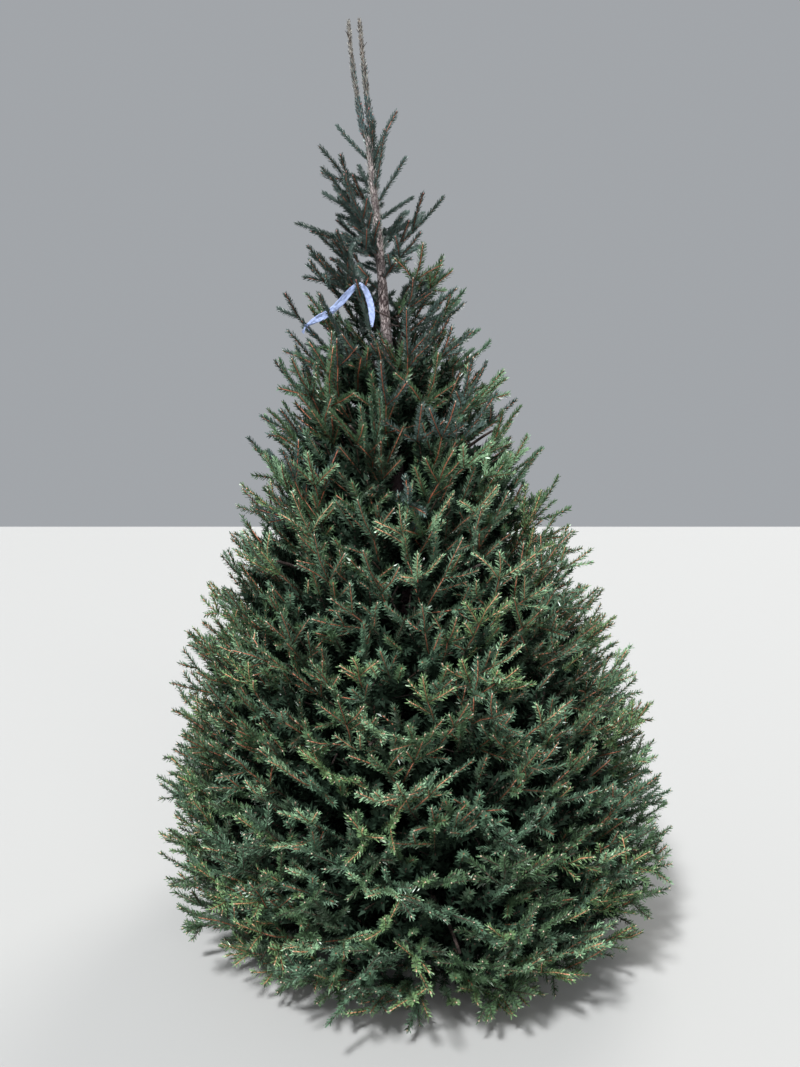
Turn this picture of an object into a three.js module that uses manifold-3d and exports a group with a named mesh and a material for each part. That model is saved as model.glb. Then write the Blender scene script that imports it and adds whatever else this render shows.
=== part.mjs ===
import * as THREE from 'three';
import { mergeVertices } from 'three/addons/utils/BufferGeometryUtils.js';
import Module from 'manifold-3d';

const wasm = await Module();
wasm.setup();

// A spruce of about 3.2 m, rooted in level ground. Millimetres, +Z up, origin at the
// middle of the flat cut under the trunk. The tree leans to -X. Azimuths run from +X
// towards +Y, in degrees.

// Trunk
const TRUNK_HEIGHT = 2805;
const TRUNK_FOOT_RADIUS = 47;
const TRUNK_TAPER = 0.0132;
const ROOT_FLARE = 18;
const ROOT_FLARE_HEIGHT = 50;
const FORK_SWELLING = 8;
const FORK_SWELLING_HEIGHT = 28;
const LEAN = 0.02;
const SWEEP = 0.0000145;

// Crown, as radii about the leaning trunk: a skirt that opens upward from the
// ground, a widest girth, and a cone above it, rounded into one another
const SKIRT_RADIUS = 590;
const SKIRT_FLARE = 1.6;
const WIDEST_RADIUS = 905;
const CONE_FOOT_RADIUS = 1197;
const CONE_TAPER = 0.398;
const CROWN_ROUNDING = 50;
const GROUND_CLEARANCE = 4;

// Whorls of boughs, from the top one down
const TOP_WHORL = 1930;
const WHORL_SPACING = 450;
const SECTORS = [4, 4, 5, 5, 5];
const SECTOR_OFFSETS = [22, 68, 8, 45, 62];
const BOUGH_RISE_AT_GROUND = 9;
const BOUGH_RISE_PER_MM = 0.0187;
const BOUGH_BASE_RADIUS = 15;
const BOUGH_TIP_RADIUS = 8;
const BOUGH_REACH = 0.46;
const BOUGH_UPTURN = 0.05;

// Foliage masses
const CLEARANCE = 0.3;
const SLIVER = 0.05;
const CELL_MARGIN = 3;
const CORE_DEPTH = 100;
const CORE_MARGIN = 11;
const CORE_BUMP = 22;
const CORE_ROUNDING = 60;
const CORE_COLUMNS = 4;
const CORE_ROWS = 3;
const CORE_INNER_LIMIT = 0.7;
const CORE_GROUND_GAP = 16;
const TOP_CORE_INNER = 0.3;
const STEM_SHOWING = 8;
const STEM_TIP_RADIUS = 4;
const TWIG_RADIUS = 3.5;
const TWIG_TIP_RADIUS = 2.1;
const TWIG_SAG = 8;
const TWIGS_FROM = 0.35;
const TWIGS_TO = 0.85;
const LOWEST_CONE = -40;
const ROW_SPACING = 178;
const COLUMN_SPACING = 215;
const SPRAY_LENGTH = 235;
const SPRAY_WIDTH = 138;
const SPRAY_THICKNESS = 17;
const SPRAY_UPTURN = 8;
const SPRAY_TURN_SCATTER = 24;
const SPRAY_RISE_SCATTER = 9;
const SPRAY_LENGTH_SCATTER = 0.14;
const SPRAY_REACH_SCATTER = 0.02;
const SPRAY_TRIES = 10;
const TOOTH_TAPER = 0.35;
const TOOTH_NOTCH = 0.36;

// Spire: the two leaders at the fork, and the shoots that stand free on the trunk
const LEADERS = [
  { name: 'leader_left', foot: -11, tip: -70, top: 3204, girth: 8 },
  { name: 'leader_right', foot: 10, tip: -31, top: 3208, girth: 10 },
];
const LEADER_NEEDLES = 14;
const LEADER_ROOT = 6;
const LEADER_SCATTER = 8;
const NEEDLE_LENGTH = 19;
const NEEDLE_RADIUS = 3;
const NEEDLE_RISE = 60;
const NEEDLE_TURN = 137.5;
const SHOOT_WIDTH = 44;
const SHOOT_THICKNESS = 10;
const SHOOT_TOOTH = 42;
const SHOOT_STALK = 14;
const SHOOT_RADIUS = 6;
const SIDE_SHOOTS_FROM = 0.34;
const SIDE_SHOOT_SPACING = 0.16;
const SIDE_SHOOT_SPREAD = 0.85;
const SIDE_SHOOT_LIFT = 0.12;
const SIDE_SHOOT_SHARE = 0.72;
const SPIRE_SHOOTS = [
  { height: 2724, azimuth: 181, rise: 39, length: 156, sides: 0 },
  { height: 2741, azimuth: 325, rise: 47, length: 152, sides: 0 },
  { height: 2690, azimuth: 80, rise: 48, length: 150, sides: 0 },
  { height: 2608, azimuth: 292, rise: 58, length: 190, sides: 0 },
  { height: 2535, azimuth: 197, rise: 45, length: 270, sides: 1 },
  { height: 2560, azimuth: 342, rise: 54, length: 178, sides: 0 },
  { height: 2585, azimuth: 118, rise: 50, length: 200, sides: 1 },
  { height: 2507, azimuth: 24, rise: 37, length: 160, sides: 0 },
  { height: 2402, azimuth: 217, rise: 50, length: 325, sides: 3 },
  { height: 2380, azimuth: 257, rise: 42, length: 285, sides: 2 },
  { height: 2345, azimuth: 351, rise: 47, length: 300, sides: 3 },
  { height: 2385, azimuth: 170, rise: 24, length: 300, sides: 3 },
  { height: 2395, azimuth: 62, rise: 44, length: 310, sides: 2 },
  { height: 2360, azimuth: 120, rise: 40, length: 310, sides: 2 },
  { height: 2300, azimuth: 305, rise: 26, length: 210, sides: 1 },
];

const BARK = { color: 0x6d5648, roughness: 0.92, metalness: 0 };
const NEEDLES = { color: 0x33482f, roughness: 0.72, metalness: 0 };
const SEED = 41;

const rad = THREE.MathUtils.degToRad;
const lerp = THREE.MathUtils.lerp;
const vec = (x, y, z) => new THREE.Vector3(x, y, z);
const cross = (a, b) => vec(0, 0, 0).crossVectors(a, b).normalize();
const UP = vec(0, 0, 1);

// The same seed always grows the same tree
function seeded(seed) {
  let state = seed >>> 0;
  return () => {
    state = (state + 0x6d2b79f5) >>> 0;
    let t = Math.imul(state ^ (state >>> 15), state | 1);
    t ^= t + Math.imul(t ^ (t >>> 7), t | 61);
    return ((t ^ (t >>> 14)) >>> 0) / 4294967296;
  };
}

const around = (random, spread) => (random() * 2 - 1) * spread;

// Form of the whole tree

const trunkX = (z) => -(LEAN * z + SWEEP * z * z);

function trunkRadius(z) {
  const flare = ROOT_FLARE * Math.exp(-z / ROOT_FLARE_HEIGHT);
  const swelling = FORK_SWELLING * Math.exp(-(TRUNK_HEIGHT - z) / FORK_SWELLING_HEIGHT);
  return TRUNK_FOOT_RADIUS - TRUNK_TAPER * z + flare + swelling;
}

function crownRadius(z) {
  const limits = [SKIRT_RADIUS + SKIRT_FLARE * z, WIDEST_RADIUS, CONE_FOOT_RADIUS - CONE_TAPER * z];
  const sum = limits.reduce((total, r) => total + Math.exp(-r / CROWN_ROUNDING), 0);
  return -CROWN_ROUNDING * Math.log(sum);
}

const boughRise = (z) => BOUGH_RISE_AT_GROUND + BOUGH_RISE_PER_MM * z;

// Height, at a distance from the trunk, of the cone of boughs that leaves it at z
const coneHeight = (z, distance) => z + distance * Math.tan(rad(boughRise(z)));

function surfaceDistance(z) {
  let distance = crownRadius(z);
  for (let step = 0; step < 30; step += 1) {
    distance = lerp(distance, crownRadius(coneHeight(z, distance)), 0.5);
  }
  return distance;
}

const place = (azimuth, distance, z) => vec(
  trunkX(z) + distance * Math.cos(rad(azimuth)), distance * Math.sin(rad(azimuth)), z);

function heading(azimuth, rise) {
  const level = Math.cos(rad(rise));
  return vec(level * Math.cos(rad(azimuth)), level * Math.sin(rad(azimuth)), Math.sin(rad(rise)));
}

// Each mass keeps to a sector of the ring of space between two cones
function makeCell(tier, sector) {
  const whorl = TOP_WHORL - tier * WHORL_SPACING;
  return {
    whorl,
    lower: whorl - WHORL_SPACING / 2,
    upper: whorl + WHORL_SPACING / 2,
    azimuth: SECTOR_OFFSETS[tier] + (sector * 360) / SECTORS[tier],
    halfAngle: 180 / SECTORS[tier],
  };
}

function isInside(cell, point, margin) {
  const x = point.x - trunkX(point.z);
  const distance = Math.hypot(x, point.y);
  const azimuth = THREE.MathUtils.radToDeg(Math.atan2(point.y, x));
  const turn = Math.abs(THREE.MathUtils.euclideanModulo(azimuth - cell.azimuth + 180, 360) - 180);
  const side = distance * Math.sin(rad(Math.max(cell.halfAngle - turn, 0)));
  return side > margin
    && point.z > Math.max(coneHeight(cell.lower, distance), 0) + margin
    && point.z < coneHeight(cell.upper, distance) - margin;
}

// Shapes and solids

// A turned profile of (radius, height) pairs, closed on the axis at both ends
function turned(profile, sides) {
  return new THREE.LatheGeometry(profile.map(([r, y]) => new THREE.Vector2(r, y)), sides);
}

// Bends a turned shape, which stands along its own Y, on to a curve
function bend(geometry, curve, length) {
  const position = geometry.getAttribute('position');
  for (let i = 0; i < position.count; i += 1) {
    const t = THREE.MathUtils.clamp(position.getY(i) / length, 0, 1);
    const along = curve.getTangent(t);
    const side = cross(along, Math.abs(along.z) > 0.99 ? vec(0, 1, 0) : UP);
    const point = curve.getPoint(t);
    point.addScaledVector(side, position.getX(i));
    point.addScaledVector(cross(side, along), position.getZ(i));
    position.setXYZ(i, point.x, point.y, point.z);
  }
  return geometry;
}

function limb(from, middle, to, baseRadius, tipRadius, sides, steps) {
  const curve = new THREE.QuadraticBezierCurve3(from, middle, to);
  const length = curve.getLength();
  const profile = [[0, 0]];
  for (let step = 0; step <= steps; step += 1) {
    const t = step / steps;
    profile.push([lerp(baseRadius, tipRadius, t), t * length]);
  }
  profile.push([0, length]);
  return bend(turned(profile, sides), curve, length);
}

// A flat blade with pairs of forward teeth, lying in the plane square to over
function toothedBlade(root, along, over, length, width, thickness, teeth) {
  const profile = [[0, 0]];
  for (let tooth = 1; tooth <= teeth; tooth += 1) {
    const taper = 1 - TOOTH_TAPER * (tooth / teeth) ** 2;
    const tipAt = (length * (tooth - 0.1)) / (teeth + 0.35);
    profile.push([(width / 2) * taper, tipAt]);
    if (tooth < teeth) {
      profile.push([(width / 2) * taper * TOOTH_NOTCH, tipAt + length * 0.02]);
    }
  }
  profile.push([0, length]);
  const side = cross(along, over);
  const basis = new THREE.Matrix4().makeBasis(side, along, cross(side, along)).setPosition(root);
  const geometry = turned(profile, 3);
  geometry.scale(1, 1, thickness / width);
  return geometry.applyMatrix4(basis);
}

// A needle: a three-sided cone whose blunt end is sunk in what it grows on
function needle(root, along, length, radius) {
  const geometry = new THREE.ConeGeometry(radius, length, 3);
  geometry.translate(0, length / 2, 0);
  geometry.applyQuaternion(new THREE.Quaternion().setFromUnitVectors(vec(0, 1, 0), along));
  return geometry.translate(root.x, root.y, root.z);
}

function toSolid(geometry) {
  const bare = geometry.clone();
  bare.deleteAttribute('normal');
  bare.deleteAttribute('uv');
  const merged = mergeVertices(bare, 0.001);
  const index = merged.getIndex().array;
  const triangles = [];
  for (let i = 0; i < index.length; i += 3) {
    const [a, b, c] = [index[i], index[i + 1], index[i + 2]];
    if (a !== b && b !== c && c !== a) {
      triangles.push(a, b, c);
    }
  }
  const mesh = new wasm.Mesh({
    numProp: 3,
    vertProperties: new Float32Array(merged.getAttribute('position').array),
    triVerts: new Uint32Array(triangles),
  });
  return new wasm.Manifold(mesh);
}

const fuse = (solids) => solids.reduce((whole, solid) => whole.add(solid));

// One closed body: loose scraps are dropped, and sealed hollows are filled
function wholeBody(solid) {
  const pieces = solid.simplify(SLIVER).decompose();
  return pieces.reduce((largest, piece) => (piece.volume() > largest.volume() ? piece : largest));
}

function toMesh(name, solid, look) {
  const { vertProperties, triVerts } = wholeBody(solid).getMesh();
  const geometry = new THREE.BufferGeometry();
  geometry.setAttribute('position', new THREE.BufferAttribute(vertProperties, 3));
  geometry.setIndex(new THREE.BufferAttribute(triVerts, 1));
  geometry.computeVertexNormals();
  const mesh = new THREE.Mesh(geometry, new THREE.MeshStandardMaterial(look));
  mesh.name = name;
  return mesh;
}

// Trunk, with an outset copy that everything on it is cut clear of

function makeTrunk(outset) {
  const heights = [0, 25, 60, 120];
  for (let z = 350; z < TRUNK_HEIGHT - 80; z += 350) {
    heights.push(z);
  }
  heights.push(TRUNK_HEIGHT - 70, TRUNK_HEIGHT - 25, TRUNK_HEIGHT + outset);
  const profile = [[0, 0]];
  for (const z of heights) {
    profile.push([trunkRadius(Math.min(z, TRUNK_HEIGHT)) + outset, z]);
  }
  profile.push([0, TRUNK_HEIGHT + outset]);
  const geometry = turned(profile, 12);
  geometry.rotateX(Math.PI / 2);
  const position = geometry.getAttribute('position');
  for (let i = 0; i < position.count; i += 1) {
    position.setX(i, position.getX(i) + trunkX(position.getZ(i)));
  }
  return toSolid(geometry);
}

const trunk = makeTrunk(0);
const aroundTrunk = makeTrunk(CLEARANCE);

// Boughs, one to each mass below the top whorl

function boughPath(cell) {
  const reach = surfaceDistance(cell.whorl) * BOUGH_REACH;
  const upturn = reach * BOUGH_UPTURN;
  const from = place(cell.azimuth, 0, cell.whorl);
  const to = place(cell.azimuth, reach, coneHeight(cell.whorl, reach) + upturn);
  const middle = place(cell.azimuth, reach / 2, coneHeight(cell.whorl, reach / 2) - upturn / 2);
  return { from, middle, to, end: to.clone().sub(middle).normalize() };
}

function makeBough(cell) {
  const { from, middle, to } = boughPath(cell);
  const bough = limb(from, middle, to, BOUGH_BASE_RADIUS, BOUGH_TIP_RADIUS, 5, 2);
  return toSolid(bough).subtract(aroundTrunk);
}

// The core of a mass: a box bent into its cell, with rounded, uneven faces
function makeCore(cell, inner, random) {
  const box = new THREE.BoxGeometry(2, 2, 2, CORE_COLUMNS, 1, CORE_ROWS);
  const position = box.getAttribute('position');
  const bumps = new Map();
  for (let i = 0; i < position.count; i += 1) {
    const [across, out, high] = [-position.getX(i), position.getY(i), position.getZ(i)];
    const corner = `${across.toFixed(2)} ${high.toFixed(2)}`;
    if (!bumps.has(corner)) {
      bumps.set(corner, around(random, CORE_BUMP));
    }
    const coneAt = lerp(Math.max(cell.lower, 0), cell.upper, (high + 1) / 2);
    const rounding = (CORE_ROUNDING * (across ** 4 + high ** 4)) / 2;
    const outer = surfaceDistance(coneAt) - CORE_DEPTH - rounding + bumps.get(corner);
    const distance = out > 0 ? outer : Math.min(inner, outer * CORE_INNER_LIMIT);
    const sideMargin = THREE.MathUtils.radToDeg(CORE_MARGIN / distance);
    const azimuth = cell.azimuth + across * (cell.halfAngle - sideMargin);
    const floor = Math.max(coneHeight(cell.lower, distance), CORE_GROUND_GAP) + CORE_MARGIN;
    const ceiling = coneHeight(cell.upper, distance) - CORE_MARGIN;
    const point = place(azimuth, distance, lerp(floor, ceiling, (high + 1) / 2));
    position.setXYZ(i, point.x, point.y, point.z);
  }
  return toSolid(box);
}

// Points spread evenly over the crown's surface in a cell, in staggered rows
function surfacePoints(cell, random) {
  const points = [];
  const low = Math.max(cell.lower, LOWEST_CONE);
  const surfaceHeight = (z) => coneHeight(z, surfaceDistance(z));
  const tall = surfaceHeight(cell.upper) - Math.max(surfaceHeight(low), 0);
  const rows = Math.round(tall / ROW_SPACING);
  for (let row = 0; row < rows; row += 1) {
    const coneAt = lerp(low, cell.upper, (row + 0.5) / rows);
    const width = 2 * surfaceDistance(coneAt) * rad(cell.halfAngle);
    const columns = Math.max(2, Math.round(width / COLUMN_SPACING));
    for (let column = 0; column < columns; column += 1) {
      const across = ((column + (row % 2 ? 0.3 : 0.7)) / columns) * 2 - 1;
      points.push({
        coneAt: coneAt + around(random, 12),
        azimuth: cell.azimuth + across * cell.halfAngle * 0.96 + around(random, 2),
      });
    }
  }
  return points;
}

function verticesOf(geometry) {
  const position = geometry.getAttribute('position');
  return Array.from({ length: position.count }, (_, i) => vec(0, 0, 0).fromBufferAttribute(position, i));
}

// One spray whose tip is on the crown's surface, turned inward until it keeps to its cell
function makeSpray(cell, target, random) {
  for (let attempt = 0; attempt < SPRAY_TRIES; attempt += 1) {
    const outward = 1 - attempt / SPRAY_TRIES;
    const azimuth = lerp(target.azimuth, cell.azimuth, (1 - outward) * 0.35);
    const distance = surfaceDistance(target.coneAt) * (1 + around(random, SPRAY_REACH_SCATTER));
    const tip = place(azimuth, distance, coneHeight(target.coneAt, distance));
    const turn = azimuth + around(random, SPRAY_TURN_SCATTER) * outward;
    const rise = boughRise(target.coneAt) + SPRAY_UPTURN * outward + around(random, SPRAY_RISE_SCATTER);
    const along = heading(turn, rise);
    const over = heading(turn + 90 + around(random, 60), 45 + around(random, 40));
    const length = SPRAY_LENGTH * (1 + around(random, SPRAY_LENGTH_SCATTER));
    const root = tip.clone().addScaledVector(along, -length);
    const blade = toothedBlade(root, along, over, length, SPRAY_WIDTH, SPRAY_THICKNESS, 2);
    const keepsIn = (vertex) => isInside(cell, vertex, CELL_MARGIN) && vertex.z > GROUND_CLEARANCE;
    if (verticesOf(blade).every(keepsIn)) {
      return { root, blade: toSolid(blade) };
    }
  }
  return null;
}

// A mass: its stem starts clear of the bough's tip, or of the trunk in the top tier
function makeMass(cell, hasBough, random) {
  const path = boughPath(cell);
  const reach = surfaceDistance(cell.whorl);
  const start = hasBough ? path.to.clone().addScaledVector(path.end, CLEARANCE) : path.from;
  const end = place(cell.azimuth, reach - CORE_DEPTH, coneHeight(cell.whorl, reach - CORE_DEPTH));
  const middle = start.clone().addScaledVector(path.end, start.distanceTo(end) / 2);
  const stem = limb(start, middle, end, BOUGH_TIP_RADIUS, STEM_TIP_RADIUS, 5, 2);
  const inner = (hasBough ? path.to.distanceTo(path.from) : reach * TOP_CORE_INNER) + STEM_SHOWING;
  const solids = [makeCore(cell, inner, random), toSolid(stem)];
  const stemCurve = new THREE.QuadraticBezierCurve3(start, middle, end);
  for (const target of surfacePoints(cell, random)) {
    const spray = makeSpray(cell, target, random);
    if (spray) {
      const fork = stemCurve.getPoint(lerp(TWIGS_FROM, TWIGS_TO, random()));
      const bow = fork.clone().lerp(spray.root, 0.6).addScaledVector(UP, -TWIG_SAG);
      const twig = limb(fork, bow, spray.root, TWIG_RADIUS, TWIG_TIP_RADIUS, 3, 1);
      solids.push(toSolid(twig), spray.blade);
    }
  }
  return hasBough ? fuse(solids) : fuse(solids).subtract(aroundTrunk);
}

// Leaders: slim and upright, clad in needles that lie close along them

function makeLeader({ foot, tip, top, girth }, random) {
  const forkX = trunkX(TRUNK_HEIGHT);
  const from = vec(forkX + foot, 0, TRUNK_HEIGHT - LEADER_ROOT);
  const to = vec(forkX + tip, around(random, LEADER_SCATTER), top);
  const middle = vec(lerp(from.x, to.x, 0.42), 0, lerp(from.z, to.z, 0.5));
  const solids = [toSolid(limb(from, middle, to, girth, girth * 0.7, 6, 3))];
  const curve = new THREE.QuadraticBezierCurve3(from, middle, to);
  for (let i = 0; i < LEADER_NEEDLES; i += 1) {
    const root = curve.getPoint(0.06 + (0.88 * i) / LEADER_NEEDLES);
    const along = heading(i * NEEDLE_TURN, NEEDLE_RISE);
    solids.push(toSolid(needle(root, along, NEEDLE_LENGTH + girth * 0.5, NEEDLE_RADIUS)));
  }
  return fuse(solids).subtract(aroundTrunk);
}

// A free shoot on the spire, with side shoots in its own plane
function makeShoot({ height, azimuth, rise, length, sides }, neighbours, random) {
  const from = place(azimuth, 0, height);
  const along = heading(azimuth, rise);
  const over = heading(azimuth, rise + 90);
  const start = trunkRadius(height) + SHOOT_STALK;
  const bladeFrom = from.clone().addScaledVector(along, start);
  const stalkTo = bladeFrom.clone().addScaledVector(along, SHOOT_STALK);
  const stalk = limb(from, from.clone().lerp(stalkTo, 0.5), stalkTo, SHOOT_RADIUS, SHOOT_RADIUS, 3, 1);
  const clad = length - start;
  const teeth = Math.round(clad / SHOOT_TOOTH);
  const leading = toothedBlade(bladeFrom, along, over, clad, SHOOT_WIDTH, SHOOT_THICKNESS, teeth);
  const solids = [toSolid(stalk), toSolid(leading)];
  for (let i = 0; i < sides; i += 1) {
    const hand = i % 2 ? -1 : 1;
    const at = length * (SIDE_SHOOTS_FROM + SIDE_SHOOT_SPACING * i);
    const way = along.clone().addScaledVector(cross(along, over), hand * SIDE_SHOOT_SPREAD);
    way.addScaledVector(UP, around(random, SIDE_SHOOT_LIFT)).normalize();
    const root = from.clone().addScaledVector(along, at);
    const reach = (length - at) * SIDE_SHOOT_SHARE;
    const solid = toSolid(toothedBlade(root, way, over, reach, SHOOT_WIDTH, SHOOT_THICKNESS, 3));
    if (neighbours.every((other) => solid.minGap(other, 2) >= 1)) {
      solids.push(solid);
    }
  }
  return fuse(solids).subtract(aroundTrunk);
}

const tree = new THREE.Group();
tree.add(toMesh('trunk', trunk, BARK));

const spireSolids = [];
LEADERS.forEach((leader, i) => {
  const solid = makeLeader(leader, seeded(SEED + i));
  spireSolids.push(solid);
  tree.add(toMesh(leader.name, solid, NEEDLES));
});
SPIRE_SHOOTS.forEach((shoot, i) => {
  const solid = makeShoot(shoot, spireSolids, seeded(SEED + 10 + i));
  spireSolids.push(solid);
  tree.add(toMesh(`spire_shoot_${i + 1}`, solid, NEEDLES));
});

SECTORS.forEach((count, tier) => {
  for (let sector = 0; sector < count; sector += 1) {
    const cell = makeCell(tier, sector);
    const label = `${tier + 1}_${sector + 1}`;
    const hasBough = tier > 0;
    const mass = makeMass(cell, hasBough, seeded(SEED + 100 * (tier + 1) + sector));
    tree.add(toMesh(`foliage_${label}`, mass, NEEDLES));
    if (hasBough) {
      tree.add(toMesh(`bough_${label}`, makeBough(cell), BARK));
    }
  }
});

export default tree;
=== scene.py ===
import math
from types import SimpleNamespace as Row

import bmesh
import bpy
import numpy as np
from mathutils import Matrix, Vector, noise


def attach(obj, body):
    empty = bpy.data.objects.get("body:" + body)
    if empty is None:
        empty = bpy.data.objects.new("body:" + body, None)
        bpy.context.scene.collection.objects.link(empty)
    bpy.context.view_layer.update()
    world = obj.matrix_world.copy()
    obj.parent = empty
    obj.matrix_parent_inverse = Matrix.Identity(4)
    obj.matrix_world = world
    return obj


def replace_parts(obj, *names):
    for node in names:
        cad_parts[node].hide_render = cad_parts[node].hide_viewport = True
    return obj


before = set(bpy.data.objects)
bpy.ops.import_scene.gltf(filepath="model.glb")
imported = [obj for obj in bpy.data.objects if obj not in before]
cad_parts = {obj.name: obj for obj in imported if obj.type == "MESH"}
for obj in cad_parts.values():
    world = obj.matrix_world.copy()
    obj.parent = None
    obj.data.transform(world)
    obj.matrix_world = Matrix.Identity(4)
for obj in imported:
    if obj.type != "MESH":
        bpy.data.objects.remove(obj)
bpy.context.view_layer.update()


def table(columns, *rows):
    """Rows of values by the names of their columns. A row may lack the last ones."""
    return tuple(Row(**dict(zip(columns.split(), row))) for row in rows)


# Form of the tree, in metres, as in the part's source

TRUNK_HEIGHT = 2.805
TRUNK_FOOT_RADIUS = 0.047
TRUNK_TAPER = 0.0132
ROOT_FLARE = 0.018
ROOT_FLARE_HEIGHT = 0.05
FORK_SWELLING = 0.008
FORK_SWELLING_HEIGHT = 0.028
LEAN = 0.02
SWEEP = 0.0145

SKIRT_RADIUS = 0.59
SKIRT_FLARE = 1.6
WIDEST_RADIUS = 0.905
CONE_FOOT_RADIUS = 1.197
CONE_TAPER = 0.398
CROWN_ROUNDING = 0.05

TOP_WHORL = 1.93
WHORL_SPACING = 0.45
SECTORS = (4, 4, 5, 5, 5)
SECTOR_OFFSETS = (22, 68, 8, 45, 62)
BOUGH_RISE_AT_GROUND = 9
BOUGH_RISE_PER_METRE = 18.7
BOUGH_BASE_RADIUS = 0.015
BOUGH_TIP_RADIUS = 0.008
BOUGH_REACH = 0.46
BOUGH_UPTURN = 0.05
CORE_DEPTH = 0.1
STEM_TIP_RADIUS = 0.004
TWIG_RADIUS = 0.0035
TWIG_TIP_RADIUS = 0.0021
TWIG_SAG = 0.008
LOWEST_CONE = -0.04
SEED = 41

LEADERS = table(
    "foot tip top girth lean_low",
    (-0.014, -0.07, 3.204, 0.008, 0.74),
    (0.012, -0.031, 3.208, 0.010, 0.60),
)
SPIRE_SHOOTS = table(
    "height azimuth rise length sides",
    (2.716, 181, 46, 0.156, 0),
    (2.700, 325, 56, 0.180, 0),
    (2.690, 80, 48, 0.150, 0),
    (2.608, 292, 58, 0.190, 0),
    (2.535, 197, 45, 0.270, 1),
    (2.560, 342, 54, 0.178, 0),
    (2.585, 118, 50, 0.200, 1),
    (2.507, 24, 37, 0.160, 0),
    (2.402, 207, 50, 0.325, 3),
    (2.380, 238, 44, 0.270, 2),
    (2.345, 351, 47, 0.300, 1),
    (2.385, 170, 24, 0.300, 3),
    (2.395, 62, 44, 0.280, 1),
    (2.360, 120, 40, 0.310, 2),
    (2.300, 305, 26, 0.210, 1),
)

# Growth that is finer than the source's

# Layers of sprays: the tiers that have them, how deep their tips lie under the crown's
# surface, how far apart they are, their shoots, and for one the height at which it ends
LAYERS = table(
    "first_tier last_tier depth rows columns years length age habit highest",
    (0, 4, 0.61, 0.16, 0.15, 1, 0.140, 3, "core"),
    (0, 4, 0.54, 0.16, 0.16, 1, 0.150, 3, "core"),
    (0, 4, 0.47, 0.155, 0.155, 1, 0.155, 3, "core"),
    (0, 4, 0.39, 0.16, 0.16, 1, 0.150, 3, "core"),
    (0, 4, 0.31, 0.14, 0.14, 1, 0.145, 3, "core"),
    (0, 4, 0.145, 0.115, 0.12, 1, 0.125, 3, "inner"),
    (0, 4, 0.08, 0.117, 0.122, 1, 0.110, 1, "shaded"),
    (0, 4, 0.0, 0.142, 0.147, 2, 0.110, 0, "outer"),
    (3, 4, 0.05, 0.17, 0.18, 1, 0.095, 0, "outer"),
    (0, 1, 0.22, 0.115, 0.115, 1, 0.115, 3, "inner", 1.94),
    (0, 1, 0.13, 0.115, 0.115, 1, 0.115, 3, "inner"),
)
GROUND_RINGS = table(
    "distance sprays years length age habit",
    (0.26, 2, 1, 0.1, 3, "inner"),
    (0.38, 3, 1, 0.1, 3, "inner"),
    (0.50, 4, 1, 0.1, 1, "shaded"),
    (0.60, 4, 1, 0.1, 0, "outer"),
    (0.68, 5, 1, 0.1, 0, "outer"),
    (0.74, 4, 1, 0.1, 0, "outer"),
)
GROUND_SPRAY_HEIGHT = 0.035
LENGTH_GAIN_FROM = 1.0
LENGTH_GAIN = 0.60
SPRAY_UPTURN = 18
SPRAY_TURN_SCATTER = 17
HIGH_TURN_SCATTER = 30
STEEPEST_SPRAY = 45
SPRAY_RISE_SCATTER = 13
SPRAY_ROLL = 60
SPRAY_SHARE_OF_REACH = 0.85
FULL_SPRAYS = 0.6
SIDE_ANGLE = 42
CLAD_FROM = 0.3
HIGH_FROM = 1.65
SHADED_FROM = 2.0
HIGH_TONES = 0.92
LOW_BELOW = 0.7
LOW_TONES = 0.85
PALE_FROM = 0.60
DULL_BELOW = 0.45
SIDE_SHARE = 0.80
SHOOT_RADIUS = 0.0017
YEAR_THICKENING = 0.0004
HIGH_THICKENING = 0.0003
SHOOT_TAPER = 0.8
SHORTENED = 0.6
SHOOT_ROLL = 24
SIDE_CHANCE = 0.92
EXTRA_SIDE_CHANCE = 0.5
YEAR_GAIN = 1.02
LIMB_FORKS = 11
SHORTEST_YEAR = 0.06
LOWEST_ROOT = 0.03
REACH_ALLOWANCE = 0.026
SKIRT_ALLOWANCE = 0.085
SKIRT_HEIGHT = 0.16
GROUND_CLEARANCE = 0.012
NEEDLE_CLEARANCE = 0.001
NARROWEST_CROWN = 0.1

UPPER_SPRAYS = 18
UPPER_SPRAYS_FROM = 2.12
UPPER_SPRAYS_TO = 2.50
FORK_SHOOTS = 6
OPEN_FRONT_FROM = 2.08
OPEN_FRONT_LEFT = 0.035
OPEN_FRONT_RIGHT = 0.050
TAPE_LEFT = -0.386
TAPE_SPAN = 0.235
TAPE_TOP = 2.27
TAPE_UNDERSIDE = (2.04, 2.13)
TAPE_HANGS_FROM = 0.75
TAPE_HANGS_TO = 2.05
TAPE_DEPTHS = (-0.085, -0.19)
EYE = Vector((-0.058, -2.85, 1.55))
TRUNK_GLIMPSES = ((1.085, 1.160), (1.530, 1.605))
GLIMPSE_HALF_WIDTH = 0.028

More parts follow.
